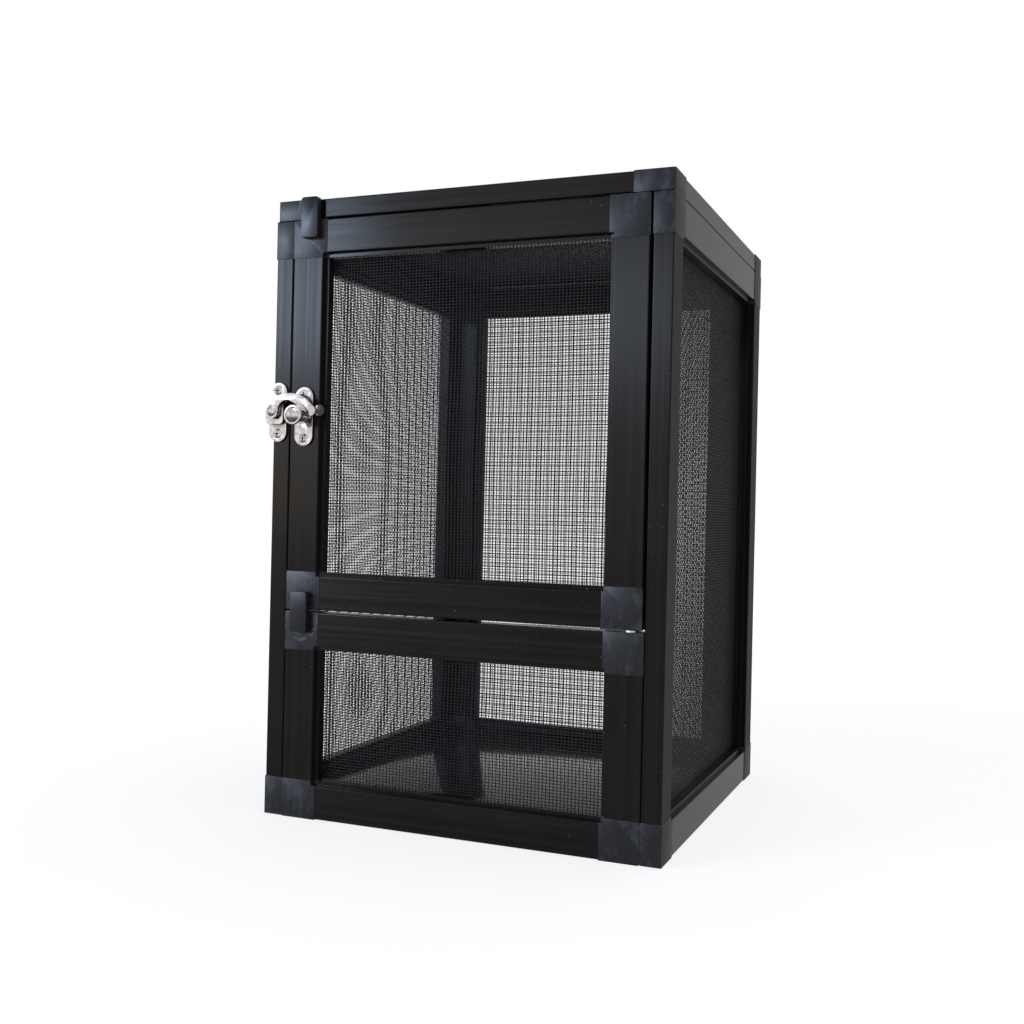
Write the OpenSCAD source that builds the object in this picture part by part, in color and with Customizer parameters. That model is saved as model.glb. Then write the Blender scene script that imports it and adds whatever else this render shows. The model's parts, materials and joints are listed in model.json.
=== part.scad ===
// Screen cage for reptiles: framed mesh panels, a floor board, a hinged upper door, a swing latch and
// two turn tabs.
// Millimetres. X to the right, Y to the back, Z up. The base stands on Z = 0, and the origin is under
// the middle of the whole outline, so the cage itself sits back by half the latch's reach.

/* [Cage] */
// Width over the side panels
cage_w = 220; // [150:1:400]
// Depth over the front and back panels
cage_d = 220; // [150:1:400]
// Height from the base to the top of the lid
cage_h = 330; // [260:1:600]
// Height of the fixed lower front panel
lower_h = 110; // [70:1:150]
// How much narrower the lid is than the cage
lid_play = 0.9; // [0:0.1:3]
// How far the lid sits to the right of the middle
lid_shift = 0.35; // [0:0.05:0.4]

/* [Frame extrusion] */
// Thickness of an extrusion, from its outer to its inner face
frame_t = 10; // [9:0.5:16]
// Width of its outer face
face_w = 17.8; // [16:0.1:30]
// Thickness of its walls
wall = 1.2; // [0.8:0.1:2]
// Width of the lip that carries the mesh
lip_w = 2.2; // [1:0.1:4]
// Depth of the lip behind the outer face
lip_set = 3; // [2:0.1:4]
// Depth of the lip itself
lip_d = 5; // [3:0.1:6]
// Width of the groove for the spline
groove_w = 4.2; // [3:0.1:6]
// Radius of the extrusion's long edges
edge_r = 0.6; // [0.2:0.1:1]

/* [Corner blocks] */
// Side of a corner block
block = 20.5; // [20.5:0.1:36]
// How far a block stands proud of the extrusions
proud = 0.25; // [0.1:0.05:0.5]
// Length of a leg inside the extrusion
leg_l = 18; // [8:0.5:20]
// Gap between a leg and the walls round it
leg_gap = 0.1; // [0.05:0.05:0.3]
// Radius of a block's outer corner
block_r = 1; // [0.3:0.1:3]

/* [Mesh and spline] */
// Thickness of the mesh sheet
mesh_t = 0.4; // [0.3:0.1:1]
// Gap between the mesh's edge and the frame round it
mesh_gap = 0.1; // [0.05:0.05:0.5]
// Openings along a mesh's longer side
mesh_cells = 12; // [4:1:12]
// Width of the bars between the openings
mesh_bar = 3.6; // [2:0.2:4.4]
// Diameter of the rubber spline
spline_dia = 3.8; // [2:0.1:5]

/* [Floor board] */
// Thickness of the board on the floor panel
board_t = 2.5; // [1:0.1:5]
// Gap between the board's edges and the walls
board_gap = 0.5; // [0.2:0.1:2]

/* [Pegs between panels] */
// Diameter of a peg
peg_dia = 4; // [2:0.1:5]
// Length of a peg
peg_l = 10; // [6:0.5:16]

/* [Door] */
// Gap between the door and the left post
free_gap = 0.15; // [0.1:0.05:2]
// Gap between the door and the right post, where it turns
hinge_gap = 1.25; // [1.2:0.05:4]
// Gap between the door and the lid
top_gap = 0.35; // [0.2:0.05:2]
// Gap between the door and the lower panel
bottom_gap = 0.9; // [0.5:0.05:3]
// Diameter of a hinge pin
pin_dia = 3; // [2:0.1:4]
// Length of a hinge pin inside the door
pin_grip = 6; // [4:0.5:12]
// Diameter of the collar that the door rests on
collar_dia = 7; // [5:0.1:7]
// Distance from the hinge axis to the door's right edge
hinge_in = 6; // [5:0.1:8]
// Distance from the hinge axis to the door's front
hinge_back = 3.6; // [2.8:0.1:3.9]

/* [Turn tabs] */
// Width of a tab
tab_w = 10.3; // [8:0.1:16]
// Length of a tab
tab_l = 21.6; // [16:0.1:30]
// Thickness of a tab
tab_t = 3.8; // [3:0.1:6]
// Radius of a tab's corners
tab_r = 1.6; // [0.5:0.1:3]
// Distance from the stud to the tab's middle, across it
tab_off_x = 0.8; // [0:0.1:2]
// Distance from the stud to the tab's middle, along it
tab_off_z = 5.15; // [4:0.05:8]
// Diameter of the stud
stud_dia = 2.4; // [1.6:0.1:3]
// Length of the stud inside the block
stud_l = 7; // [4:0.1:9]
// Diameter of the stud's snap head
stud_head_dia = 3.4; // [3.2:0.1:4]
// Height of the snap head
stud_head_h = 0.8; // [0.5:0.1:1.2]
// Distance from the cage's left side to the top tab's stud
top_stud_x = 23.1; // [22.8:0.1:60]
// Distance from the cage's left side to the lower tab's stud
mid_stud_x = 19.9; // [16:0.1:24]

/* [Latch] */
// Height of the latch's pivot above the base
latch_z = 216.4; // [180:0.1:240]
// Distance from the cage's left side to the pivot
pivot_x = 3.6; // [3:0.1:6]
// Distance from the pivot to the knob
knob_reach = 15.6; // [15:0.1:20]
// Distance from the pivot down to the knob
knob_drop = 2.2; // [0:0.1:3]
// Distance from the knob to the middle of its plate, across it
plate_side = 0.5; // [0:0.1:1]
// Distance from the knob down to the middle of its plate
plate_drop = 0.2; // [0:0.1:1]
// Thickness of the plates
plate_t = 1.2; // [0.8:0.1:2]
// Width of the post's plate
post_plate_w = 10.6; // [9:0.1:14]
// Length of the post's plate
post_plate_l = 31.8; // [28:0.1:40]
// Width of the door's plate
door_plate_w = 11; // [9:0.1:14]
// Length of the door's plate
door_plate_l = 31.5; // [28:0.1:40]
// Distance between a plate's screws
screw_pitch = 23.2; // [20:0.1:26]
// Diameter of a screw's shank
screw_dia = 2.6; // [2:0.1:3]
// Diameter of a screw's head
screw_head_dia = 5; // [4:0.1:6]
// Length of a screw's shank behind the plate
screw_l = 7; // [4:0.5:8]
// Height of a screw's raised head above the plate
screw_rise = 0.8; // [0.3:0.1:1.2]
// Length of the slots of a screw's cross recess
recess_l = 2.8; // [2:0.1:3.6]
// Width of the slots
recess_w = 0.7; // [0.4:0.1:1]
// Depth of the slots
recess_d = 1.2; // [0.6:0.1:1.6]
// Height of the boss that carries the arm
boss_h = 4.6; // [2.5:0.1:6]
// Length of the boss
boss_l = 13.2; // [10:0.1:16]
// Radius of the boss's corners
boss_r = 2.2; // [0.5:0.1:4]
// Thickness of the arm
arm_t = 2.8; // [2:0.1:4]
// Height of the arm's arch above its pivot
arm_rise = 9.5; // [8.5:0.1:12]
// Distance from the knob to the middle of the arm's thumb end
thumb_reach = 13.2; // [12.6:0.1:14.4]
// Height of the thumb end's middle above the pivot
thumb_rise = 0.4; // [0:0.1:1]
// Diameter of the thumb end
thumb_dia = 6; // [4.4:0.1:7]
// Thickness of the thumb end
thumb_t = 1.4; // [1:0.1:2]
// Diameter of the pivot rivet
rivet_dia = 3.4; // [2:0.1:4]
// Diameter of the rivet's head
rivet_head_dia = 5.4; // [4:0.1:7]
// Height of the rivet's domed head
rivet_head_h = 1.3; // [0.6:0.1:2]
// Diameter of the knob's neck
neck_dia = 6; // [4:0.1:6.4]
// Width of the foot round the neck
foot_w = 0.8; // [0.4:0.1:1.4]
// Height of the foot
foot_h = 0.6; // [0.4:0.1:1.2]
// Gap between the arm and the knob's rim
knob_lift = 2.4; // [0.4:0.1:4]
// Diameter of the knob's rim
knob_dia = 10.6; // [9.6:0.1:12]
// Thickness of the rim
rim_t = 1.6; // [1.2:0.1:3]
// Radius of the rim's edge
rim_r = 0.5; // [0.2:0.1:0.6]
// Diameter of the dome on the rim
dome_dia = 8; // [7:0.1:9.2]
// Height of the dome
dome_h = 2.8; // [1:0.1:3.4]

/* [Clearances] */
// Radial gap of a pin that turns
run_fit = 0.05; // [0.02:0.01:0.1]
// Radial gap of a pin that stays put
tight_fit = 0.02; // [0.01:0.01:0.05]
// Gap between faces that slide past each other
slide_gap = 0.2; // [0.1:0.05:0.5]

/* [Hidden] */
$fn = 48;

// Latch depths, measured outwards from the extrusions' front faces
arm_back = boss_h + slide_gap;
arm_front = arm_back + arm_t;
rim_back = arm_front + knob_lift;
latch_reach = rim_back + rim_t + dome_h;

// Places of the panels
panel_t = frame_t + 2 * proud;
inner_w = cage_w - 2 * panel_t;
inner_d = cage_d - 2 * panel_t;
wall_h = cage_h - panel_t;
set_back = (latch_reach - proud) / 2;
front_y = set_back - cage_d / 2;
back_y = set_back + cage_d / 2;
face_y = front_y + proud;
lid_w = cage_w - lid_play;
lid_x = lid_shift - lid_w / 2;
door_w = inner_w - free_gap - hinge_gap;
door_z = lower_h + bottom_gap;
door_h = wall_h - top_gap - door_z;
door_x = free_gap - inner_w / 2;

// Section of the extrusion
lip_end = frame_t - lip_set - lip_d;
groove_u = face_w - groove_w;
groove_floor = frame_t - lip_set - wall;
block_face = proud + face_w;

// Hinge
hinge_x = door_x + door_w - hinge_in;
hinge_y = front_y + hinge_back;

// Latch
pivot_pos = pivot_x - cage_w / 2;
knob_pos = pivot_pos + knob_reach;
knob_z = latch_z - knob_drop;
root_dia = neck_dia - 2 * foot_w;
door_plate_x = knob_pos + plate_side;
door_plate_z = knob_z - plate_drop;

// Turn tabs
top_stud_z = cage_h - panel_t / 2;
mid_stud_z = lower_h - tab_off_z;

// Points on an arc, from angle a0 to a1
function arc(centre, r, a0, a1, steps = 4) =
    [for (i = [0 : steps]) let (a = a0 + (a1 - a0) * i / steps) centre + r * [cos(a), sin(a)]];

// A smooth closed outline through hand-set points
function smooth_point(p0, p1, p2, p3, t) =
    (2 * p1 + (p2 - p0) * t + (2 * p0 - 5 * p1 + 4 * p2 - p3) * t * t
    + (3 * p1 - p0 - 3 * p2 + p3) * t * t * t) / 2;
function smooth(points, steps = 4) = let (n = len(points)) [
    for (i = [0 : n - 1], s = [0 : steps - 1])
        smooth_point(points[(i + n - 1) % n], points[i], points[(i + 1) % n], points[(i + 2) % n], s / steps)
];

// A rectangle with round corners, from (0, 0)
module round_rect(w, h, r) {
    polygon(concat(
        arc([r, r], r, 180, 270), arc([w - r, r], r, 270, 360),
        arc([w - r, h - r], r, 0, 90), arc([r, h - r], r, 90, 180)
    ));
}

// A slot with round ends about its middle, upright
module upright_slot(w, l) {
    union() {
        translate([-w / 2, w / 2 - l / 2]) square([w, l - w]);
        for (end = [-1, 1]) translate([0, end * (l - w) / 2]) circle(d = w);
    }
}

// ---- Panels. A panel lies on its inner face: x across, y up the panel, z outwards. ----

// Section of a frame extrusion: x from the panel's edge to its opening, y from its inner to its outer face
module frame_section() {
    difference() {
        polygon(concat(
            arc([edge_r, edge_r], edge_r, 270, 180),
            arc([edge_r, frame_t - edge_r], edge_r, 180, 90),
            arc([face_w - edge_r, frame_t - edge_r], edge_r, 90, 0),
            [
                [face_w, frame_t - lip_set], [face_w + lip_w, frame_t - lip_set],
                [face_w + lip_w, lip_end], [face_w, lip_end],
                [face_w, groove_floor], [groove_u, groove_floor], [groove_u, 0]
            ]
        ));
        polygon([
            [wall, wall], [wall, frame_t - wall], [face_w - wall, frame_t - wall],
            [face_w - wall, frame_t - lip_set], [groove_u - wall, frame_t - lip_set],
            [groove_u - wall, wall]
        ]);
    }
}

// Places something made for the low end of x or y at that end (0) or the high end (1)
module at_x_end(w, end) {
    if (end == 0) children();
    else translate([w, 0, 0]) mirror([1, 0, 0]) children();
}

module at_y_end(h, end) {
    if (end == 0) children();
    else translate([0, h, 0]) mirror([0, 1, 0]) children();
}

module stile(w, h, end) {
    color("#2b2c2f")
    at_x_end(w, end)
    translate([proud, h - block, proud]) rotate([90, 0, 0])
        linear_extrude(h - 2 * block) frame_section();
}

module rail(w, h, end) {
    color("#2b2c2f")
    at_y_end(h, end)
    translate([block, proud, proud]) rotate([90, 0, 90])
        linear_extrude(w - 2 * block) frame_section();
}

// A plastic corner: a block with a leg into each of the two extrusions, and its piece of the lip
module corner_piece() {
    leg_w = groove_u - 2 * (wall + leg_gap);
    leg_t = frame_t - 2 * (wall + leg_gap);
    leg_at = proud + wall + leg_gap;
    union() {
        linear_extrude(panel_t) polygon(concat(
            arc([block_r, block_r], block_r, 180, 270),
            [[block, 0], [block, block_face], [block_face, block_face], [block_face, block], [0, block]]
        ));
        translate([0, 0, proud + lip_end]) linear_extrude(lip_d) polygon([
            [block_face - wall, block_face - wall], [block, block_face - wall],
            [block, block_face + lip_w], [block_face + lip_w, block_face + lip_w],
            [block_face + lip_w, block], [block_face - wall, block]
        ]);
        translate([leg_at, block - wall, leg_at]) cube([leg_w, leg_l + wall, leg_t]);
        translate([block - wall, leg_at, leg_at]) cube([leg_l + wall, leg_w, leg_t]);
    }
}

// The corners at the given [x end, y end] pairs
module corners(w, h, ends = [[0, 0], [1, 0], [0, 1], [1, 1]]) {
    color("#35363a")
    for (e = ends) at_x_end(w, e[0]) at_y_end(h, e[1]) corner_piece();
}

// The mesh lies on the ends of the lips, inside the spline. A plain grid of about square openings
// stands for its fine weave.
module mesh_sheet(w, h) {
    edge = block_face + mesh_gap;
    clear = block_face + lip_w;
    pitch = (max(w, h) - 2 * clear) / mesh_cells;
    across = round((w - 2 * clear) / pitch);
    upwards = round((h - 2 * clear) / pitch);
    step_x = (w - 2 * clear + mesh_bar) / across;
    step_y = (h - 2 * clear + mesh_bar) / upwards;
    color("#4a4b4d")
    translate([0, 0, proud + lip_end - mesh_t]) linear_extrude(mesh_t) difference() {
        translate([edge, edge]) square([w - 2 * edge, h - 2 * edge]);
        for (i = [0 : across - 1], j = [0 : upwards - 1])
            translate([clear + i * step_x, clear + j * step_y])
                square([step_x - mesh_bar, step_y - mesh_bar]);
    }
}

// Four lengths of rubber cord, pressed into the grooves to hold the mesh
module spline_cords(w, h) {
    axis_u = proud + groove_u + groove_w / 2;
    axis_z = proud + groove_floor - spline_dia / 2 - mesh_gap;
    color("#161616") {
        for (end = [0, 1]) at_x_end(w, end)
            translate([axis_u, h - block, axis_z]) rotate([90, 0, 0])
                cylinder(d = spline_dia, h = h - 2 * block);
        for (end = [0, 1]) at_y_end(h, end)
            translate([block, axis_u, axis_z]) rotate([90, 0, 90])
                cylinder(d = spline_dia, h = w - 2 * block);
    }
}

// ---- Where each panel stands ----

module on_left() {
    translate([panel_t - cage_w / 2, back_y, 0]) rotate([90, 0, -90]) children();
}

module on_right() {
    translate([cage_w / 2 - panel_t, front_y, 0]) rotate([90, 0, 90]) children();
}

module on_back() {
    translate([inner_w / 2, back_y - panel_t, 0]) rotate([90, 0, 180]) children();
}

module on_lower_front() {
    translate([-inner_w / 2, front_y + panel_t, 0]) rotate([90, 0, 0]) children();
}

module on_door() {
    translate([door_x, front_y + panel_t, door_z]) rotate([90, 0, 0]) children();
}

module on_lid() {
    translate([lid_x, front_y, wall_h]) children();
}

module on_floor() {
    translate([-inner_w / 2, back_y - panel_t, panel_t]) rotate([180, 0, 0]) children();
}

// ---- Pegs that join the panels, drawn with an extra gap round them to cut their holes ----

module peg(gap) {
    rotate([0, 90, 0]) cylinder(d = peg_dia + 2 * gap, h = peg_l + 2 * gap, center = true);
}

module pegs(gap = 0) {
    mid = panel_t / 2;
    for (side = [-1, 1]) {
        // Walls between the side panels
        for (z = [block / 2, wall_h - block / 2]) translate([side * inner_w / 2, back_y - mid, z]) peg(gap);
        for (z = [block / 2, lower_h - block / 2]) translate([side * inner_w / 2, front_y + mid, z]) peg(gap);
        // Floor and lid
        for (y = [front_y + 1.5 * panel_t, back_y - 1.5 * panel_t]) {
            translate([side * inner_w / 2, y, mid]) peg(gap);
            translate([side * (inner_w + panel_t) / 2, y, wall_h]) rotate([0, 90, 0]) peg(gap);
        }
    }
}

module panel_pegs() {
    color("#222222") pegs();
}

// ---- Side panels ----

module left_wall_front_stile() {
    difference() {
        on_left() stile(cage_d, wall_h, 1);
        pegs(tight_fit);
        post_screw_holes();
    }
}

module left_wall_back_stile() {
    on_left() stile(cage_d, wall_h, 0);
}

module left_wall_top_rail() {
    on_left() rail(cage_d, wall_h, 1);
}

module left_wall_bottom_rail() {
    on_left() rail(cage_d, wall_h, 0);
}

module left_wall_corners() {
    difference() {
        on_left() corners(cage_d, wall_h);
        pegs(tight_fit);
    }
}

module left_wall_mesh() {
    on_left() mesh_sheet(cage_d, wall_h);
}

module left_wall_spline() {
    on_left() spline_cords(cage_d, wall_h);
}

module right_wall_front_stile() {
    difference() {
        on_right() stile(cage_d, wall_h, 0);
        pegs(tight_fit);
    }
}

module right_wall_back_stile() {
    on_right() stile(cage_d, wall_h, 1);
}

module right_wall_top_rail() {
    on_right() rail(cage_d, wall_h, 1);
}

module right_wall_bottom_rail() {
    on_right() rail(cage_d, wall_h, 0);
}

module right_wall_corners() {
    difference() {
        on_right() corners(cage_d, wall_h);
        pegs(tight_fit);
    }
}

module right_wall_mesh() {
    on_right() mesh_sheet(cage_d, wall_h);
}

module right_wall_spline() {
    on_right() spline_cords(cage_d, wall_h);
}

// ---- Back panel and floor ----

module back_wall_stiles() {
    on_back() for (end = [0, 1]) stile(inner_w, wall_h, end);
}

module back_wall_rails() {
    on_back() for (end = [0, 1]) rail(inner_w, wall_h, end);
}

module back_wall_corners() {
    difference() {
        on_back() corners(inner_w, wall_h);
        pegs(tight_fit);
    }
}

module back_wall_mesh() {
    on_back() mesh_sheet(inner_w, wall_h);
}

module back_wall_spline() {
    on_back() spline_cords(inner_w, wall_h);
}

module floor_side_rails() {
    on_floor() for (end = [0, 1]) stile(inner_w, inner_d, end);
}

module floor_end_rails() {
    on_floor() for (end = [0, 1]) rail(inner_w, inner_d, end);
}

module floor_corners() {
    difference() {
        on_floor() corners(inner_w, inner_d);
        pegs(tight_fit);
    }
}

module floor_mesh() {
    on_floor() mesh_sheet(inner_w, inner_d);
}

module floor_spline() {
    on_floor() spline_cords(inner_w, inner_d);
}

// A glossy board that lies loose on the floor panel, inside the walls
module floor_board() {
    color("#1d1e20") translate([board_gap - inner_w / 2, front_y + panel_t + board_gap, panel_t])
        cube([inner_w - 2 * board_gap, inner_d - 2 * board_gap, board_t]);
}

// ---- Lid ----

module lid_left_rail() {
    on_lid() stile(lid_w, cage_d, 0);
}

module lid_right_rail() {
    on_lid() stile(lid_w, cage_d, 1);
}

module lid_front_rail() {
    difference() {
        on_lid() rail(lid_w, cage_d, 0);
        studs(tight_fit);
    }
}

module lid_back_rail() {
    on_lid() rail(lid_w, cage_d, 1);
}

module lid_corners() {
    difference() {
        on_lid() corners(lid_w, cage_d);
        pegs(tight_fit);
        studs(tight_fit);
        upper_pin(tight_fit);
    }
}

module lid_mesh() {
    on_lid() mesh_sheet(lid_w, cage_d);
}

module lid_spline() {
    on_lid() spline_cords(lid_w, cage_d);
}

// ---- Lower front panel ----

module lower_front_left_stile() {
    on_lower_front() stile(inner_w, lower_h, 0);
}

module lower_front_right_stile() {
    on_lower_front() stile(inner_w, lower_h, 1);
}

module lower_front_top_rail() {
    on_lower_front() rail(inner_w, lower_h, 1);
}

module lower_front_bottom_rail() {
    on_lower_front() rail(inner_w, lower_h, 0);
}

module lower_front_corners() {
    difference() {
        on_lower_front() corners(inner_w, lower_h);
        pegs(tight_fit);
        studs(tight_fit);
        lower_pin(tight_fit);
    }
}

module lower_front_mesh() {
    on_lower_front() mesh_sheet(inner_w, lower_h);
}

module lower_front_spline() {
    on_lower_front() spline_cords(inner_w, lower_h);
}

// ---- Upper door ----

module door_left_stile() {
    difference() {
        on_door() stile(door_w, door_h, 0);
        door_screw_holes();
    }
}

module door_right_stile() {
    on_door() stile(door_w, door_h, 1);
}

module door_top_rail() {
    on_door() rail(door_w, door_h, 1);
}

module door_bottom_rail() {
    on_door() rail(door_w, door_h, 0);
}

module door_free_corners() {
    on_door() corners(door_w, door_h, [[0, 0], [0, 1]]);
}

module door_hinge_corners() {
    difference() {
        on_door() corners(door_w, door_h, [[1, 0], [1, 1]]);
        upper_pin(run_fit);
        lower_pin(run_fit);
    }
}

module door_mesh() {
    on_door() mesh_sheet(door_w, door_h);
}

module door_spline() {
    on_door() spline_cords(door_w, door_h);
}

// ---- Hinge pins ----

// The upper pin stands in the lid's block and reaches down into the door
module upper_pin(gap = 0) {
    foot = door_z + door_h - pin_grip;
    translate([hinge_x, hinge_y, foot - gap])
        cylinder(d = pin_dia + 2 * gap, h = cage_h - panel_t / 4 - foot + 2 * gap);
}

// The lower pin stands in the lower panel's block, and its collar carries the door
module lower_pin(gap = 0) {
    translate([hinge_x, hinge_y, lower_h - pin_grip - gap])
        cylinder(d = pin_dia + 2 * gap, h = 2 * pin_grip + bottom_gap + 2 * gap);
}

module upper_hinge_pin() {
    color("#8c8f93") upper_pin();
}

module lower_hinge_pin() {
    color("#8c8f93") union() {
        lower_pin();
        translate([hinge_x, hinge_y, lower_h]) cylinder(d = collar_dia, h = bottom_gap - run_fit);
    }
}

// ---- Turn tabs ----

// A stud with a snap head, from the panel's edge outwards, with an extra gap to cut its hole
module stud(gap) {
    neck = tab_t - 2 * stud_head_h;
    rotate([90, 0, 0]) union() {
        translate([0, 0, -stud_l - gap])
            cylinder(d = stud_dia + 2 * gap, h = stud_l + slide_gap + neck + 2 * gap);
        translate([0, 0, slide_gap + neck - gap])
            cylinder(d = stud_head_dia + 2 * gap, h = stud_head_h + 2 * gap);
    }
}

module at_top_stud() {
    translate([top_stud_x - cage_w / 2, front_y, top_stud_z]) children();
}

module at_lower_stud() {
    translate([mid_stud_x - cage_w / 2, front_y, mid_stud_z]) children();
}

module studs(gap = 0) {
    at_top_stud() stud(gap);
    at_lower_stud() stud(gap);
}

module tab_studs() {
    color("#1f1f20") studs();
}

// A tab hangs from its stud, which sits off its middle
module turn_tab() {
    color("#34353a")
    difference() {
        translate([0, -slide_gap, 0]) rotate([90, 0, 0]) linear_extrude(tab_t)
            translate([-tab_off_x - tab_w / 2, -tab_off_z - tab_l / 2]) round_rect(tab_w, tab_l, tab_r);
        stud(run_fit);
    }
}

module top_tab() {
    at_top_stud() turn_tab();
}

module lower_tab() {
    at_lower_stud() rotate([0, 180, 0]) turn_tab();
}

// ---- Latch ----

// Places something on the extrusions' front face: x right, y up, z outwards
module on_face(x, z) {
    translate([x, face_y, z]) rotate([90, 0, 0]) children();
}

module at_screws(x, z) {
    for (end = [-1, 1]) on_face(x, z + end * screw_pitch / 2) children();
}

// A low dome that stands on z = 0
module dome(dia, h) {
    r = (dia * dia / 4 + h * h) / (2 * h);
    rim_angle = acos(dia / 2 / r);
    rotate_extrude() polygon(concat([[0, 0]], arc([0, h - r], r, rim_angle, 90, 10)));
}

// A countersunk screw, with an extra gap to cut its hole
module screw_shape(gap) {
    sink = (screw_head_dia - screw_dia) / 2;
    union() {
        translate([0, 0, -screw_l - gap]) cylinder(d = screw_dia + 2 * gap, h = screw_l + plate_t + gap);
        translate([0, 0, plate_t - sink]) cylinder(
            d1 = screw_dia + 2 * gap, d2 = screw_head_dia + 2 * gap, h = sink
        );
    }
}

module cross_recess() {
    for (turn = [0, 90]) rotate([0, 0, turn])
        translate([-recess_l / 2, -recess_w / 2, plate_t + screw_rise - recess_d])
            cube([recess_l, recess_w, recess_d]);
}

module screw() {
    color("#c9ccd0") difference() {
        union() {
            screw_shape(0);
            translate([0, 0, plate_t]) dome(screw_head_dia, screw_rise);
        }
        cross_recess();
    }
}

module post_screw_holes() {
    at_screws(pivot_pos, latch_z) screw_shape(tight_fit);
}

module door_screw_holes() {
    at_screws(door_plate_x, door_plate_z) screw_shape(tight_fit);
}

module latch_post_screws() {
    at_screws(pivot_pos, latch_z) screw();
}

module latch_door_screws() {
    at_screws(door_plate_x, door_plate_z) screw();
}

module latch_post_plate() {
    color("#d5d7da") difference() {
        on_face(pivot_pos, latch_z) union() {
            linear_extrude(plate_t) upright_slot(post_plate_w, post_plate_l);
            linear_extrude(boss_h) translate([-post_plate_w / 2, -boss_l / 2])
                round_rect(post_plate_w, boss_l, boss_r);
        }
        post_screw_holes();
        on_face(pivot_pos, latch_z) rivet_shape(tight_fit);
    }
}

// The rivet goes through the arm into the boss, as deep as the plate's front
module rivet_shape(gap) {
    translate([0, 0, plate_t - gap])
        cylinder(d = rivet_dia + 2 * gap, h = arm_front + slide_gap - plate_t + gap);
}

module latch_pivot() {
    color("#d5d7da") on_face(pivot_pos, latch_z) union() {
        rivet_shape(0);
        translate([0, 0, arm_front + slide_gap / 2]) dome(rivet_head_dia, rivet_head_h);
    }
}

// Outline of the arm about its pivot: up, over the knob's neck and down behind it.
// It is drawn for a reach of 15.6 and a rise of 9.5, and stretched to the sizes in use.
module arm_outline() {
    across = knob_reach / 15.6;
    upwards = arm_rise / 9.5;
    drawn = [
        [-3.8, 0], [-2.8, -2.6], [0, -3.8], [2.8, -2.6], [3.8, 0], [4.2, 2.6], [6, 4.9], [9, 5.9],
        [12, 5.3], [15.2, 3.6], [19, 2.8], [21.4, 0.4], [22.6, -1.7], [24.9, -2.6], [26.9, -1],
        [26.9, 1.1], [23.9, 4.2], [19.4, 7.5], [13.4, 9.4], [7.4, 9.3], [2, 7.8], [-2, 5]
    ];
    polygon(smooth([for (p = drawn) [p.x * across, p.y * upwards]]));
}

// The flat end that a thumb pushes, with its root behind the arm
module thumb_outline() {
    translate([knob_reach + thumb_reach, thumb_rise]) {
        circle(d = thumb_dia);
        translate([-thumb_dia, -thumb_dia / 4]) square([thumb_dia, thumb_dia / 2]);
    }
}

module latch_arm() {
    color("#dfe1e3") difference() {
        on_face(pivot_pos, latch_z) translate([0, 0, arm_back]) union() {
            linear_extrude(arm_t) arm_outline();
            linear_extrude(thumb_t) thumb_outline();
        }
        on_face(pivot_pos, latch_z) rivet_shape(run_fit);
    }
}

module latch_door_plate() {
    color("#d5d7da") difference() {
        on_face(door_plate_x, door_plate_z)
            linear_extrude(plate_t) upright_slot(door_plate_w, door_plate_l);
        door_screw_holes();
        on_face(knob_pos, knob_z) translate([0, 0, -plate_t])
            cylinder(d = root_dia + 2 * tight_fit, h = 3 * plate_t);
    }
}

// A turned knob: root in the plate, foot, neck, rim and dome
module latch_knob() {
    neck_r = neck_dia / 2;
    knob_r = knob_dia / 2;
    rim_front = rim_back + rim_t;
    color("#d9dbde") on_face(knob_pos, knob_z) union() {
        rotate_extrude() polygon(concat(
            [
                [0, 0], [root_dia / 2, 0], [root_dia / 2, plate_t], [neck_r + foot_w, plate_t],
                [neck_r + foot_w, plate_t + foot_h], [neck_r, plate_t + foot_h], [neck_r, rim_back]
            ],
            arc([knob_r - rim_r, rim_back + rim_r], rim_r, 270, 360),
            arc([knob_r - rim_r, rim_front - rim_r], rim_r, 0, 90),
            [[0, rim_front]]
        ));
        translate([0, 0, rim_front]) dome(dome_dia, dome_h);
    }
}

left_wall_front_stile();
left_wall_back_stile();
left_wall_top_rail();
left_wall_bottom_rail();
left_wall_corners();
left_wall_mesh();
left_wall_spline();
right_wall_front_stile();
right_wall_back_stile();
right_wall_top_rail();
right_wall_bottom_rail();
right_wall_corners();
right_wall_mesh();
right_wall_spline();
back_wall_stiles();
back_wall_rails();
back_wall_corners();
back_wall_mesh();
back_wall_spline();
floor_side_rails();
floor_end_rails();
floor_corners();
floor_mesh();
floor_spline();
floor_board();
lid_left_rail();
lid_right_rail();
lid_front_rail();
lid_back_rail();
lid_corners();
lid_mesh();
lid_spline();
lower_front_left_stile();
lower_front_right_stile();
lower_front_top_rail();
lower_front_bottom_rail();
lower_front_corners();
lower_front_mesh();
lower_front_spline();
door_left_stile();
door_right_stile();
door_top_rail();
door_bottom_rail();
door_free_corners();
door_hinge_corners();
door_mesh();
door_spline();
upper_hinge_pin();
lower_hinge_pin();
panel_pegs();
latch_post_plate();
latch_post_screws();
latch_arm();
latch_pivot();
latch_door_plate();
latch_knob();
latch_door_screws();
top_tab();
lower_tab();
tab_studs();
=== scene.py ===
"""Looks of the screen cage: anodised frames, moulded corners, woven wire mesh and a chromed latch.

Metres, +Z up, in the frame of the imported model. The front of the cage faces -Y.
"""

import json
import math

import bmesh
import bpy
import numpy as np
from mathutils import Matrix, Vector

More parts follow.
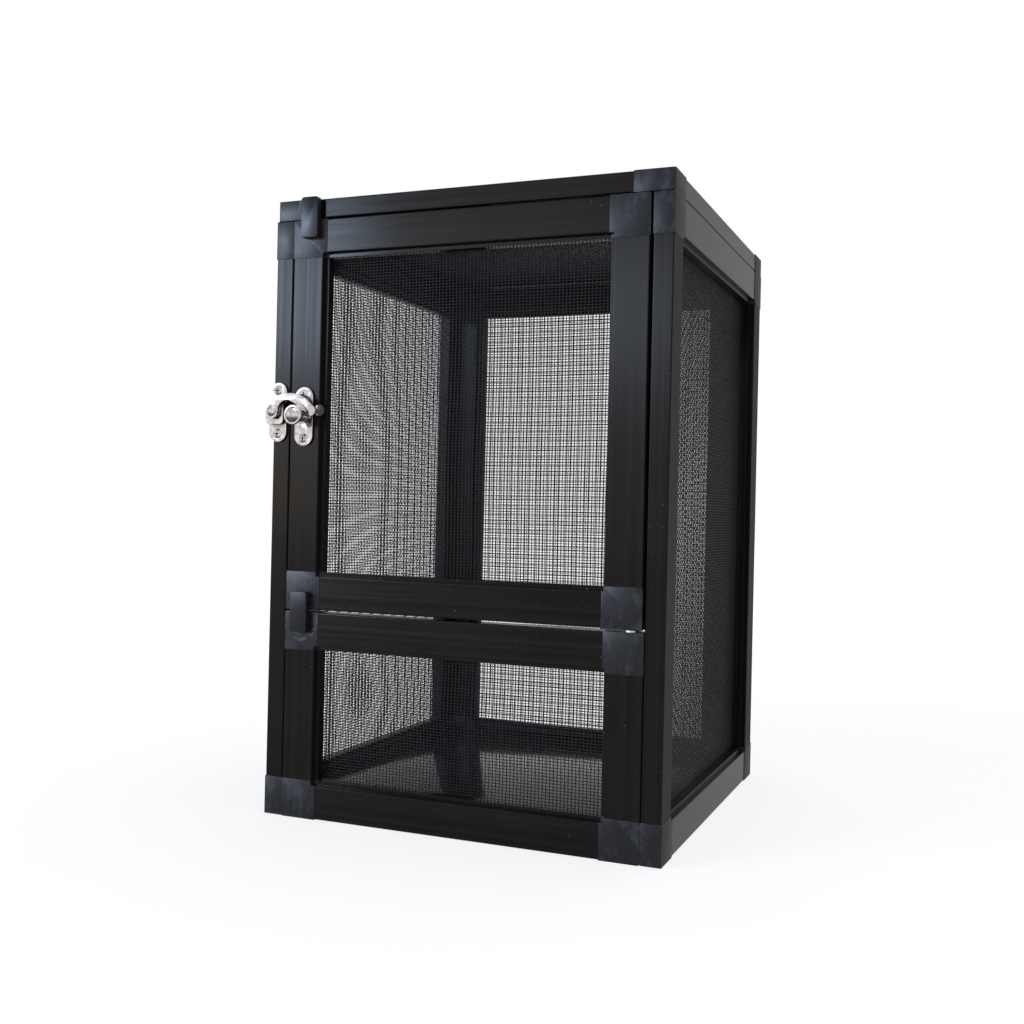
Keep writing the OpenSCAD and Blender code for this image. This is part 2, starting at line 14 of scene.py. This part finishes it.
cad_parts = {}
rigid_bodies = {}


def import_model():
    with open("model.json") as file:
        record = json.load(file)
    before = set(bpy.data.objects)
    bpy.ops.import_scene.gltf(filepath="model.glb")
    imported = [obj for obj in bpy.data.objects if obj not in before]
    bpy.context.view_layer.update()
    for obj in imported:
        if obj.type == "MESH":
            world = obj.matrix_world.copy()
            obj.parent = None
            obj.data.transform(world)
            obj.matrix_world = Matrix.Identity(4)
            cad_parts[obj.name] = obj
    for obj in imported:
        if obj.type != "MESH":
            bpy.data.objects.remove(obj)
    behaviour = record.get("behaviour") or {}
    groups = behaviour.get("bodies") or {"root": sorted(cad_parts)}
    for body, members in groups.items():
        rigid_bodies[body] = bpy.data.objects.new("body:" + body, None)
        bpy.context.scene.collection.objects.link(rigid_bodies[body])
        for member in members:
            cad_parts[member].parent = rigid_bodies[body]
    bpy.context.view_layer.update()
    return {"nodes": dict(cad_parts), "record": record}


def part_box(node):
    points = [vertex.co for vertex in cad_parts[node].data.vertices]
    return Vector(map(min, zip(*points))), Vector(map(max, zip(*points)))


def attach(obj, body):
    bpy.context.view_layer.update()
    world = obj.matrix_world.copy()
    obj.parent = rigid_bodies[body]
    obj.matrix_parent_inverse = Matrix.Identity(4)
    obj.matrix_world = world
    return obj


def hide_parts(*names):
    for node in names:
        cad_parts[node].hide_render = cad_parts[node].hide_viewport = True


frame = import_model()
nodes = frame["nodes"]

MM = 0.001

# ---- Camera, solved from the cage's edges in the photograph ----

PICTURE = 1024  # side of the picture, in pixels
FOCAL_PX = 1170.8  # focal length, in pixels of the picture
PRINCIPAL_PX = (512.2, 503.2)  # where the lens's axis meets the picture, from its upper left corner
SENSOR_MM = 36
CLIP = (0.01, 20)  # nearest and furthest distance that it sees
CAMERA_X = 0.25015
CAMERA_Z = 0.1690
CAMERA_BEFORE_FRONT = 0.53606  # from the cage's front faces
CAMERA_YAW = math.radians(22.27)  # towards -X
CAMERA_PITCH = math.radians(0.116)
CAMERA_ROLL = math.radians(1.297)


def make_camera():
    """The photograph's viewpoint, as a pinhole camera with a small shift."""
    forward = Vector((
        -math.sin(CAMERA_YAW) * math.cos(CAMERA_PITCH),
        math.cos(CAMERA_YAW) * math.cos(CAMERA_PITCH),
        math.sin(CAMERA_PITCH),
    ))
    level = forward.cross(Vector((0, 0, 1))).normalized()
    upright = level.cross(forward)
    right = math.cos(CAMERA_ROLL) * level + math.sin(CAMERA_ROLL) * upright
    up = math.cos(CAMERA_ROLL) * upright - math.sin(CAMERA_ROLL) * level
    data = bpy.data.cameras.new("camera")
    data.sensor_width = SENSOR_MM
    data.lens = FOCAL_PX / PICTURE * SENSOR_MM
    data.shift_x = (PICTURE / 2 - PRINCIPAL_PX[0]) / PICTURE
    data.shift_y = (PRINCIPAL_PX[1] - PICTURE / 2) / PICTURE
    data.clip_start, data.clip_end = CLIP
    camera = bpy.data.objects.new("camera", data)
    bpy.context.scene.collection.objects.link(camera)
    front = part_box("left_wall_corners")[0][1]
    place = Vector((CAMERA_X, front - CAMERA_BEFORE_FRONT, CAMERA_Z))
    camera.matrix_world = Matrix.Translation(place) @ Matrix((
        (right.x, up.x, -forward.x, 0),
        (right.y, up.y, -forward.y, 0),
        (right.z, up.z, -forward.z, 0),
        (0, 0, 0, 1),
    ))
    bpy.context.scene.camera = camera


# ---- Materials ----

# Sockets of a Mix node that mixes colours: the factor and the two colours, and the result
MIX_INPUTS = (0, 6, 7)
MIX_RESULT = 2


def rgba(value):
    """A colour, or a grey given as one number, with its alpha."""
    return (*value, 1) if isinstance(value, tuple) else (value, value, value, 1)


class Shader:
    """A material's node tree, with short calls for the nodes that the materials below use."""

    def __init__(self, name, colour, roughness, metallic=0.0, specular=0.5):
        self.material = bpy.data.materials.new(name)
        self.material.use_nodes = True
        self.tree = self.material.node_tree
        self.principled = self.tree.nodes["Principled BSDF"]
        self.principled.inputs["Base Color"].default_value = rgba(colour)
        self.principled.inputs["Roughness"].default_value = roughness
        self.principled.inputs["Metallic"].default_value = metallic
        self.principled.inputs["Specular IOR Level"].default_value = specular

    def node(self, kind, **settings):
        made = self.tree.nodes.new("ShaderNode" + kind)
        for key, value in settings.items():
            setattr(made, key, value)
        return made

    def link(self, source, target):
        self.tree.links.new(source, target)

    def place(self, scale=(1, 1, 1)):
        """The point in the cage's own frame, in metres, stretched by scale."""
        coordinates = self.node("TexCoord")
        mapping = self.node("Mapping")
        mapping.inputs["Scale"].default_value = scale
        self.link(coordinates.outputs["Object"], mapping.inputs["Vector"])
        return mapping.outputs["Vector"]

    def noise(self, scale, stretch=(1, 1, 1), detail=3.0, roughness=0.55):
        made = self.node("TexNoise")
        made.inputs["Scale"].default_value = scale
        made.inputs["Detail"].default_value = detail
        made.inputs["Roughness"].default_value = roughness
        self.link(self.place(stretch), made.inputs["Vector"])
        return made.outputs["Fac"]

    def ramp(self, source, *stops):
        """stops are (position, grey or colour)."""
        made = self.node("ValToRGB")
        elements = made.color_ramp.elements
        while len(elements) < len(stops):
            elements.new(0.5)
        for element, (position, value) in zip(elements, stops):
            element.position = position
            element.color = rgba(value)
        self.link(source, made.inputs["Fac"])
        return made.outputs["Color"]

    def mix(self, factor, a, b, blend="MIX"):
        """a and b are greys, colours or sockets, factor a number or a socket."""
        made = self.node("Mix", data_type="RGBA", blend_type=blend)
        for i, value in zip(MIX_INPUTS, (factor, a, b)):
            socket = made.inputs[i]
            if isinstance(value, bpy.types.NodeSocket):
                self.link(value, socket)
            else:
                socket.default_value = value if socket.type == "VALUE" else rgba(value)
        return made.outputs[MIX_RESULT]

    def split(self, vector):
        """The parts of a vector, as sockets by the name of their axis."""
        made = self.node("SeparateXYZ")
        self.link(vector, made.inputs[0])
        return made.outputs

    def times(self, source, factor):
        made = self.node("Math", operation="MULTIPLY")
        made.inputs[1].default_value = factor
        self.link(source, made.inputs[0])
        return made.outputs[0]

    def sideways(self):
        """1 on faces that look to the left or right in the cage's own frame, and 0 on those that look to
        the front, back, top or floor."""
        made = self.node("Math", operation="ABSOLUTE")
        self.link(self.split(self.node("TexCoord").outputs["Normal"])["X"], made.inputs[0])
        return made.outputs[0]

    def bump(self, height, strength, distance):
        made = self.node("Bump")
        made.inputs["Strength"].default_value = strength
        made.inputs["Distance"].default_value = distance
        self.link(height, made.inputs["Height"])
        self.link(made.outputs["Normal"], self.principled.inputs["Normal"])

    def drive(self, socket, source):
        self.link(source, self.principled.inputs[socket])


QUARTER_TURN = 0.25
LINES_ACROSS = 1100.0  # die lines per metre across a member
LINES_ALONG = 5.0  # and how often they change per metre along it
# By the axis that a member runs along: its roughness, how far its die lines spread its highlights, and
# the roughness of its faces that look to the left or right, which have dulled
SATIN = (0.2, 0.3, 0.3)
SPREAD = (0.7, 0.6, 0.92)
DULL = (0.5, 0.42, 0.41)


def anodised(name, along):
    """Satin black anodised aluminium. Fine die lines run along the member, 0, 1 or 2 for X, Y or Z,
    and stretch the highlights across it."""
    shader = Shader(name, (0.004, 0.004, 0.0042), 0.3, specular=0.11)
    shader.principled.inputs["Specular Tint"].default_value = (1, 0.95, 0.88, 1)
    shader.principled.inputs["Anisotropic"].default_value = SPREAD[along]
    shader.principled.inputs["Anisotropic Rotation"].default_value = QUARTER_TURN
    direction = shader.node(
        "VectorTransform", vector_type="VECTOR", convert_from="OBJECT", convert_to="WORLD",
    )
    direction.inputs["Vector"].default_value = [float(i == along) for i in range(3)]
    shader.drive("Tangent", direction.outputs["Vector"])

    lines = [LINES_ALONG if i == along else LINES_ACROSS for i in range(3)]
    fine = shader.noise(1.0, lines, detail=2.0)
    broad = shader.noise(0.22, lines, detail=3.0)
    cloud = shader.noise(14.0, detail=4.0)
    specks = shader.noise(800.0, detail=1.0)
    tint = shader.ramp(cloud, (0.38, (0.0018, 0.0016, 0.0018)), (0.66, (0.0062, 0.0042, 0.0028)))
    streaked = shader.mix(shader.ramp(broad, (0.4, 0.0), (0.72, 0.7)), tint, (0.0105, 0.0102, 0.0108))
    dust = shader.ramp(specks, (0.755, 0.0), (0.80, 0.45))
    shader.drive("Base Color", shader.mix(dust, streaked, (0.22, 0.22, 0.23)))
    streaks = shader.mix(0.5, fine, broad)
    satin = shader.ramp(streaks, (0.35, SATIN[along] - 0.06), (0.65, SATIN[along] + 0.06))
    shader.drive("Roughness", shader.mix(shader.sideways(), satin, DULL[along]))
    shader.bump(fine, 0.3, 0.04 * MM)
    return shader.material


def joint_place(name):
    return Vector(next(j["pos_m"] for j in frame["record"]["behaviour"]["joints"] if j["name"] == name))


TAB_STUDS = [joint_place("top_tab_turn"), joint_place("lower_tab_turn")]
# The ring that a turning tab wears about its stud
WEAR_INNER = 9.2 * MM
WEAR_OUTER = 10.4 * MM
WEAR_SOFT = 0.3  # how far its edges fade, as a share of its width
DULL_PLASTIC = 0.6  # roughness of its faces that look to the left or right


def rubbed_ring(shader, stud):
    """1 on the worn ring about a stud, whose axis runs along Y, and 0 off it."""
    place = shader.split(shader.place())
    flat = shader.node("CombineXYZ")
    for axis in "XZ":
        shader.link(place[axis], flat.inputs[axis])
    distance = shader.node("VectorMath", operation="DISTANCE")
    shader.link(flat.outputs[0], distance.inputs[0])
    distance.inputs[1].default_value = (stud.x, 0, stud.z)
    scaled = shader.times(distance.outputs["Value"], 1 / (2 * WEAR_OUTER))
    low, high = WEAR_INNER / WEAR_OUTER / 2, 0.5
    soft = (high - low) * WEAR_SOFT
    return shader.ramp(scaled, (low - soft, 0.0), (low, 1.0), (high, 1.0), (high + soft, 0.0))


def moulded_plastic(name, specular, roughness, rubbed, studs):
    """Moulded black plastic with a fine grain, and wear round these studs. rubbed is how far its rubbed
    patches have turned pale, up to 1."""
    shader = Shader(name, (0.012, 0.0125, 0.015), roughness, specular=specular)
    grain = shader.noise(1500.0, detail=2.0)
    cloud = shader.noise(70.0, detail=5.0, roughness=0.65)
    patches = shader.noise(150.0, (1, 1, 0.6), detail=6.0, roughness=0.72)
    scuff = shader.ramp(patches, (0.5, 0.0), (0.7, rubbed))
    colour = shader.ramp(cloud, (0.3, (0.006, 0.0062, 0.0074)), (0.75, (0.0135, 0.014, 0.0165)))
    worn = shader.mix(scuff, colour, (0.04, 0.042, 0.049))
    thread = shader.ramp(shader.noise(420.0, detail=4.0), (0.48, 0.0), (0.6, 0.7))
    for stud in studs:
        marks = shader.mix(1.0, rubbed_ring(shader, stud), thread, "MULTIPLY")
        worn = shader.mix(marks, worn, (0.085, 0.088, 0.1))
    shader.drive("Base Color", worn)
    satin = shader.ramp(cloud, (0.3, roughness - 0.05), (0.7, roughness + 0.05))
    shader.drive("Roughness", shader.mix(shader.sideways(), satin, DULL_PLASTIC))
    shader.bump(grain, 0.35, 0.06 * MM)
    return shader.material


def coated_wire():
    """Black coated wire, its coat thinner in places."""
    shader = Shader("wire_mesh", (0.01, 0.01, 0.0105), 0.42, specular=0.15)
    patchy = shader.noise(500.0, detail=3.0)
    colour = shader.ramp(patchy, (0.35, (0.006, 0.006, 0.0065)), (0.7, (0.018, 0.018, 0.019)))
    shader.drive("Base Color", colour)
    shader.drive("Roughness", shader.ramp(patchy, (0.3, 0.35), (0.7, 0.55)))
    return shader.material


def rubber():
    """Dull black rubber cord."""
    shader = Shader("spline_rubber", (0.012, 0.012, 0.012), 0.8, specular=0.3)
    shader.drive("Base Color", shader.ramp(shader.noise(300.0), (0.3, 0.009), (0.7, 0.02)))
    shader.bump(shader.noise(2500.0, detail=2.0), 0.3, 0.05 * MM)
    return shader.material


def glossy_board():
    """Smooth black plastic sheet with fine scratches, smears and a little dust."""
    shader = Shader("board_plastic", (0.008, 0.008, 0.0082), 0.1, specular=0.5)
    dust = shader.ramp(shader.noise(900.0, detail=1.0), (0.7, 0.0), (0.78, 0.5))
    smear = shader.noise(45.0, (1.0, 0.4, 1.0), detail=5.0)
    colour = shader.ramp(smear, (0.35, (0.006, 0.006, 0.0062)), (0.75, (0.013, 0.013, 0.0135)))
    shader.drive("Base Color", shader.mix(dust, colour, (0.09, 0.09, 0.088)))
    scratches = shader.ramp(shader.noise(1.0, (1500.0, 40.0, 40.0), detail=2.0), (0.68, 0.0), (0.74, 1.0))
    polish = shader.ramp(smear, (0.3, 0.08), (0.75, 0.14))
    shader.drive("Roughness", shader.mix(scratches, polish, 0.3))
    return shader.material


PAINTED_SHADE_REACH = 3.5 * MM  # how near to another surface the painted corner shade reaches
THUMB_LENGTH = 5.2 * MM
THUMB_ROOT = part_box("latch_arm")[1][0] - THUMB_LENGTH
THUMB_FADE = 1.5 * MM  # over which the thumb end turns black


def chrome():
    """Bright chrome with handling marks and tarnish. Painted shade darkens its corners and what faces
    down, standing in for dark reflections, and the arm's thumb end turns near black."""
    shader = Shader("latch_chrome", (0.7, 0.7, 0.71), 0.15, metallic=1.0)
    shader.principled.inputs["Specular Tint"].default_value = (0.3, 0.3, 0.3, 1)
    tarnish = shader.ramp(
        shader.noise(330.0, detail=5.0, roughness=0.65),
        (0.36, (0.76, 0.74, 0.74)), (0.52, (0.58, 0.54, 0.53)), (0.72, (0.36, 0.32, 0.3)),
    )
    # painted shade: the colour darkens where other surfaces come near, as in corners and creases
    corner = shader.node("AmbientOcclusion", samples=8)
    corner.inputs["Distance"].default_value = PAINTED_SHADE_REACH
    painted_corner_shade = shader.ramp(corner.outputs["AO"], (0.3, 1.0), (0.85, 0.0))
    # painted shade: the colour darkens on faces that look down in the world, standing in for a dark
    # reflection from below
    upwards = shader.split(shader.node("NewGeometry").outputs["Normal"])["Z"]
    shade = shader.ramp(shader.times(upwards, -1), (0.15, 0.0), (0.45, 0.92))
    thumb = shader.node("MapRange")
    thumb.inputs["From Min"].default_value = THUMB_ROOT
    thumb.inputs["From Max"].default_value = THUMB_ROOT + THUMB_FADE
    shader.link(shader.split(shader.place())["X"], thumb.inputs["Value"])
    colour = shader.mix(shade, tarnish, (0.07, 0.062, 0.055))
    colour = shader.mix(thumb.outputs[0], colour, (0.05, 0.048, 0.042))
    shader.drive("Base Color", shader.mix(painted_corner_shade, colour, (0.02, 0.017, 0.015)))
    smear = shader.noise(260.0, detail=4.0)
    shader.drive("Roughness", shader.ramp(smear, (0.35, 0.09), (0.75, 0.26)))
    shader.bump(shader.noise(420.0, detail=2.0), 0.08, 0.1 * MM)
    return shader.material


def steel():
    """Plain turned steel."""
    shader = Shader("pin_steel", (0.5, 0.5, 0.51), 0.35, metallic=1.0)
    turned = shader.noise(1.0, (400, 400, 4000))
    shader.drive("Roughness", shader.ramp(turned, (0.3, 0.25), (0.7, 0.45)))
    shader.drive("Base Color", shader.ramp(turned, (0.3, (0.42, 0.42, 0.43)), (0.7, (0.56, 0.56, 0.57))))
    return shader.material


MATERIALS = {
    "corner_plastic": moulded_plastic("corner_plastic", 0.18, 0.34, 0.9, TAB_STUDS),
    "wire_mesh": coated_wire(),
    "board_plastic": glossy_board(),
    "spline_rubber": rubber(),
    "latch_chrome": chrome(),
    "pin_steel": steel(),
}
TAB_PLASTIC = moulded_plastic("tab_plastic", 0.13, 0.22, 0.15, ())
FRAME_BLACK = [anodised("frame_black_" + axis, i) for i, axis in enumerate("xyz")]

# Nodes that hold two members apart, and the axis along which these run
PAIRS = {"floor_side_rails": 1, "floor_end_rails": 0, "back_wall_rails": 0}


def dress_cad_nodes():
    """Gives every CAD node its material."""
    slots = {row["node"]: row["material_slot"] for row in frame["record"]["subparts"]}
    for name, node in nodes.items():
        if slots[name] == "frame_black":
            low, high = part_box(name)
            size = [high[i] - low[i] for i in range(3)]
            material = FRAME_BLACK[PAIRS.get(name, size.index(max(size)))]
        else:
            material = MATERIALS[slots[name]]
        node.data.materials.clear()
        node.data.materials.append(material)


def body_of(name):
    return next(body for body, held in frame["record"]["behaviour"]["bodies"].items() if name in held)


def finished(name, mesh, slot, *replaced):
    """A new piece on the body of the nodes that it stands for."""
    piece = bpy.data.objects.new(name, mesh)
    bpy.context.scene.collection.objects.link(piece)
    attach(piece, body_of(replaced[0]))
    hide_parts(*replaced)


# ---- Moulded and cast pieces with rounded edges ----

WELD = 0.002 * MM  # how near points are joined
FLAT = math.radians(1)  # largest angle between faces that become one
SHARP = math.radians(35)  # smallest angle of an edge that is rounded
SEGMENTS = 3  # of a rounded edge


def rounded(name, slot, radius, material):
    """The node's own shape, with its sharp edges rounded."""
    shape = bmesh.new()
    shape.from_mesh(nodes[name].data)
    bmesh.ops.remove_doubles(shape, verts=shape.verts, dist=WELD)
    bmesh.ops.dissolve_limit(shape, angle_limit=FLAT, verts=shape.verts, edges=shape.edges)
    edges = [e for e in shape.edges if e.is_manifold and e.calc_face_angle() > SHARP]
    bmesh.ops.bevel(
        shape, geom=edges, offset=radius, offset_type="OFFSET", segments=SEGMENTS,
        profile=0.5, affect="EDGES", clamp_overlap=True,
    )
    for face in shape.faces:
        face.smooth = True
    mesh = bpy.data.meshes.new(name + "_rounded")
    shape.to_mesh(mesh)
    shape.free()
    mesh.set_sharp_from_angle(angle=SHARP)
    mesh.materials.append(material)
    finished(name + "_rounded", mesh, slot, name)


# Material slot, radius of the edges, nodes
ROUNDED = (
    ("corner_plastic", 0.45 * MM, (
        "left_wall_corners", "right_wall_corners", "back_wall_corners", "floor_corners", "lid_corners",
        "lower_front_corners", "door_free_corners", "door_hinge_corners",
    )),
    ("corner_plastic", 0.7 * MM, ("top_tab", "lower_tab")),
    ("board_plastic", 0.3 * MM, ("floor_board",)),
    ("latch_chrome", 0.35 * MM, ("latch_post_plate", "latch_door_plate")),
    ("latch_chrome", 0.8 * MM, ("latch_arm",)),
    ("latch_chrome", 0.12 * MM, ("latch_post_screws", "latch_door_screws", "latch_pivot", "latch_knob")),
)


# ---- Woven wire mesh ----

PITCH_ACROSS = 1.94 * MM  # between the wires that run up a panel, or along Y on a level one
PITCH_UP = 1.55 * MM  # between those that cross them
WIRE = 0.405 * MM  # between the middles of two wires where they cross
THINNER = 0.9  # a wire's thickness as a share of that, so that crossing wires stay apart
SIDES = 4  # of a wire's section
SWAY = 0.5 * MM  # how far a sheet is pulled out of square at its middle


def zigzag(along, across, thin, stops, places, middle, parity):
    """Wires along one axis, at these places on another, each passing over and under the stops in turn."""
    rows, steps = len(places), len(stops)
    side = np.where((np.arange(rows)[:, None] + np.arange(steps)[None] + parity) % 2 == 0, 1.0, -1.0)
    # A point for each wire, stop and corner of its section
    points = np.zeros((rows, steps, SIDES, 3))
    turn = (np.arange(SIDES) + 0.5) * 2 * math.pi / SIDES
    radius = WIRE / 2 / math.cos(math.pi / SIDES) * THINNER
    points[..., along] = stops[None, :, None]
    points[..., across] = places[:, None, None] + np.cos(turn) * radius
    points[..., thin] = middle + (side * WIRE / 2)[..., None] + np.sin(turn) * radius
    # A face for each side of a wire's section, from every stop to the next
    ring = np.arange(SIDES)
    start = (np.arange(rows)[:, None, None] * steps + np.arange(steps - 1)[None, :, None]) * SIDES
    after = (ring + 1) % SIDES
    quads = np.stack([start + ring, start + after, start + SIDES + after, start + SIDES + ring], -1)
    return points.reshape(-1, 3), quads.reshape(-1, 4)


def pulled(points, level, up, low, size, turn):
    """The same points, shifted within their sheet as by uneven stretching, and not at all at its edges."""
    u = (points[:, level] - low[level]) / size[level]
    v = (points[:, up] - low[up]) / size[up]
    strength = SWAY * np.sin(math.pi * u.clip(0, 1)) * np.sin(math.pi * v.clip(0, 1))
    moved = points.copy()
    moved[:, level] += strength * np.sin(2 * math.pi * (1.2 * v + 0.4 * u) + turn)
    moved[:, up] += strength * np.sin(2 * math.pi * (0.9 * u - 0.5 * v) + 2 * turn)
    return moved


def wire_mesh_data(name, vertices, quads):
    mesh = bpy.data.meshes.new(name)
    mesh.vertices.add(len(vertices))
    mesh.vertices.foreach_set("co", vertices.astype(np.float32).ravel())
    mesh.loops.add(quads.size)
    mesh.loops.foreach_set("vertex_index", quads.astype(np.int32).ravel())
    mesh.polygons.add(len(quads))
    mesh.polygons.foreach_set("loop_start", np.arange(0, quads.size, 4, dtype=np.int32))
    mesh.update(calc_edges=True)
    mesh.shade_smooth()
    mesh.materials.append(MATERIALS["wire_mesh"])
    return mesh


def woven_sheet(name, turn):
    """A plain weave in the place of a CAD mesh sheet, as one piece for each direction of its wires.
    turn sets how it is stretched."""
    low, high = (np.array(corner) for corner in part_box(name))
    size = high - low
    thin = int(np.argmin(size))
    level, up = [axis for axis in range(3) if axis != thin]
    middle = (low + high) / 2
    places = {}
    for axis, pitch in ((level, PITCH_ACROSS), (up, PITCH_UP)):
        count = int(size[axis] // pitch)
        places[axis] = middle[axis] + (np.arange(count) - (count - 1) / 2) * pitch
    for along, across, parity, word in ((up, level, 0, "_warp"), (level, up, 1, "_weft")):
        stops = np.concatenate(([low[along]], places[along], [high[along]]))
        vertices, quads = zigzag(along, across, thin, stops, places[across], middle[thin], parity)
        vertices = pulled(vertices, level, up, low, size, turn)
        finished(name + word, wire_mesh_data(name + word, vertices, quads), "wire_mesh", name)


# ---- Light, floor and background ----


def mixed(tree, share, first, second):
    """Two shaders, mixed by the second one's share."""
    made = tree.nodes.new("ShaderNodeMixShader")
    for socket, source in zip(made.inputs, (share, first, second)):
        tree.links.new(source, socket)
    return made.outputs[0]


def background(tree, light, seen):
    """Two shaders: seen for the camera, in reflections and through what is clear, and light for all else."""
    path = tree.nodes.new("ShaderNodeLightPath")
    looking = path.outputs["Is Camera Ray"]
    for kind in ("Is Glossy Ray", "Is Transmission Ray"):
        either = tree.nodes.new("ShaderNodeMath")
        either.operation = "MAXIMUM"
        tree.links.new(looking, either.inputs[0])
        tree.links.new(path.outputs[kind], either.inputs[1])
        looking = either.outputs[0]
    return mixed(tree, looking, light, seen)


SKY_COLOUR = (0.95, 0.97, 1.0)
SKY_STRENGTH = 0.32


def make_world():
    """A white background that lights the cage evenly, and more weakly than it looks."""
    world = bpy.data.worlds.new("studio")
    bpy.context.scene.world = world
    world.use_nodes = True
    tree = world.node_tree
    light = tree.nodes["Background"]
    light.inputs["Color"].default_value = rgba(SKY_COLOUR)
    light.inputs["Strength"].default_value = SKY_STRENGTH
    seen = tree.nodes.new("ShaderNodeBackground")
    seen.inputs["Color"].default_value = rgba(1)
    seen.inputs["Strength"].default_value = 1.0
    surface = background(tree, light.outputs[0], seen.outputs[0])
    tree.links.new(surface, tree.nodes["World Output"].inputs["Surface"])


FLOOR_SIZE = 12
GLOW_STRENGTH = 1.08
GLOW_NEAR = 0.72  # how much of the floor's white is its own glow, beside the cage
FADE_FROM, FADE_TO = 0.35, 1.1  # distances from the middle between which that share grows to 1


def make_floor():
    """A white floor that takes the cage's shadow, and is white of its own further out, where it is seen.
    From below it is clear."""
    mesh = bpy.data.meshes.new("floor")
    half = FLOOR_SIZE / 2
    corners = [(-half, -half, 0), (half, -half, 0), (half, half, 0), (-half, half, 0)]
    mesh.from_pydata(corners, [], [(0, 1, 2, 3)])
    floor = bpy.data.objects.new("floor", mesh)
    bpy.context.scene.collection.objects.link(floor)
    shader = Shader("floor_white", (0.93, 0.93, 0.93), 0.9, specular=0.1)
    tree = shader.tree
    lit = shader.principled.outputs[0]
    glow = shader.node("Emission")
    glow.inputs["Strength"].default_value = GLOW_STRENGTH
    away = shader.node("VectorMath", operation="LENGTH")
    shader.link(shader.place(), away.inputs[0])
    fade = shader.node("MapRange", interpolation_type="SMOOTHSTEP")
    for socket, value in zip(("From Min", "From Max", "To Min"), (FADE_FROM, FADE_TO, GLOW_NEAR)):
        fade.inputs[socket].default_value = value
    shader.link(away.outputs["Value"], fade.inputs["Value"])
    above = background(tree, lit, mixed(tree, fade.outputs[0], lit, glow.outputs[0]))
    from_below = shader.node("NewGeometry").outputs["Backfacing"]
    clear = shader.node("BsdfTransparent").outputs[0]
    surface = mixed(tree, from_below, above, clear)
    shader.link(surface, tree.nodes["Material Output"].inputs["Surface"])
    mesh.materials.append(shader.material)


def area_light(name, at, towards, size, power, colour):
    data = bpy.data.lights.new(name, "AREA")
    data.shape = "RECTANGLE"
    data.size, data.size_y = size
    data.energy = power
    data.color = colour
    light = bpy.data.objects.new(name, data)
    light.location = at
    light.rotation_mode = "QUATERNION"
    light.rotation_quaternion = (Vector(towards) - Vector(at)).to_track_quat("-Z", "Y")
    light.visible_camera = False
    bpy.context.scene.collection.objects.link(light)
    return light


COOL = (0.58, 0.74, 1.0)
WARM = (1.0, 0.9, 0.8)
PALE = (0.95, 0.9, 1.0)
# Lamps before the cage: azimuth and elevation in degrees, width and height in metres, watts, colour
LAMPS = {
    "window": (40.5, 9.6, (1.22, 0.42), 76, COOL),
    "wall": (43.5, 0.5, (1.22, 0.47), 11, WARM),
    "curtain": (20, 10, (0.8, 0.42), 4.5, PALE),
    "window_on_chrome": (40.5, 9.6, (1.22, 0.53), 5.5, COOL),
}
AIM = Vector((-0.1, -0.1, 0.29))  # near the cage's upper left front corner
AWAY = 3.0  # distance of these lamps from it
OVERHEAD_AT = (0.3, 0.2, 2.2)
OVERHEAD_AIM = (0, 0, 0.2)
OVERHEAD_SIZE = (1.5, 1.5)
OVERHEAD_POWER = 26
OVERHEAD_COLOUR = (1.0, 0.98, 0.95)


def lamp_place(azimuth, elevation):
    """azimuth is from the front towards the left."""
    level = Vector((-math.sin(azimuth), -math.cos(azimuth), 0))
    return AIM + AWAY * (level * math.cos(elevation) + Vector((0, 0, math.sin(elevation))))


def limit_to(light, pieces, wanted):
    """Lets a lamp reach only these pieces, or all but these."""
    held = bpy.data.collections.new(light.name + "_pieces")
    for piece in pieces:
        held.objects.link(piece)
    light.light_linking.receiver_collection = held
    for entry in held.collection_objects:
        entry.light_linking.link_state = "INCLUDE" if wanted else "EXCLUDE"


def make_lights():
    """A cool window, low on the left before the cage, with a wall below it, a curtain to its right, and
    a soft lamp above. The chrome gets a weaker copy of the window instead, so that it doesn't burn out."""
    lamps = {}
    for name, (azimuth, elevation, size, power, colour) in LAMPS.items():
        at = lamp_place(math.radians(azimuth), math.radians(elevation))
        lamps[name] = area_light(name, at, AIM, size, power, colour)
    area_light("overhead", OVERHEAD_AT, OVERHEAD_AIM, OVERHEAD_SIZE, OVERHEAD_POWER, OVERHEAD_COLOUR)
    chrome_pieces = [o for o in bpy.data.objects if o.name.startswith("latch_")]
    for name, lamp in lamps.items():
        limit_to(lamp, chrome_pieces, name == "window_on_chrome")


make_camera()
dress_cad_nodes()
for slot, radius, names in ROUNDED:
    for name in names:
        rounded(name, slot, radius, TAB_PLASTIC if name.endswith("_tab") else MATERIALS[slot])
for turn, name in enumerate(name for name in nodes if name.endswith("_mesh")):
    woven_sheet(name, turn)
make_world()
make_floor()
make_lights()

bpy.context.scene.view_settings.view_transform = "Standard"
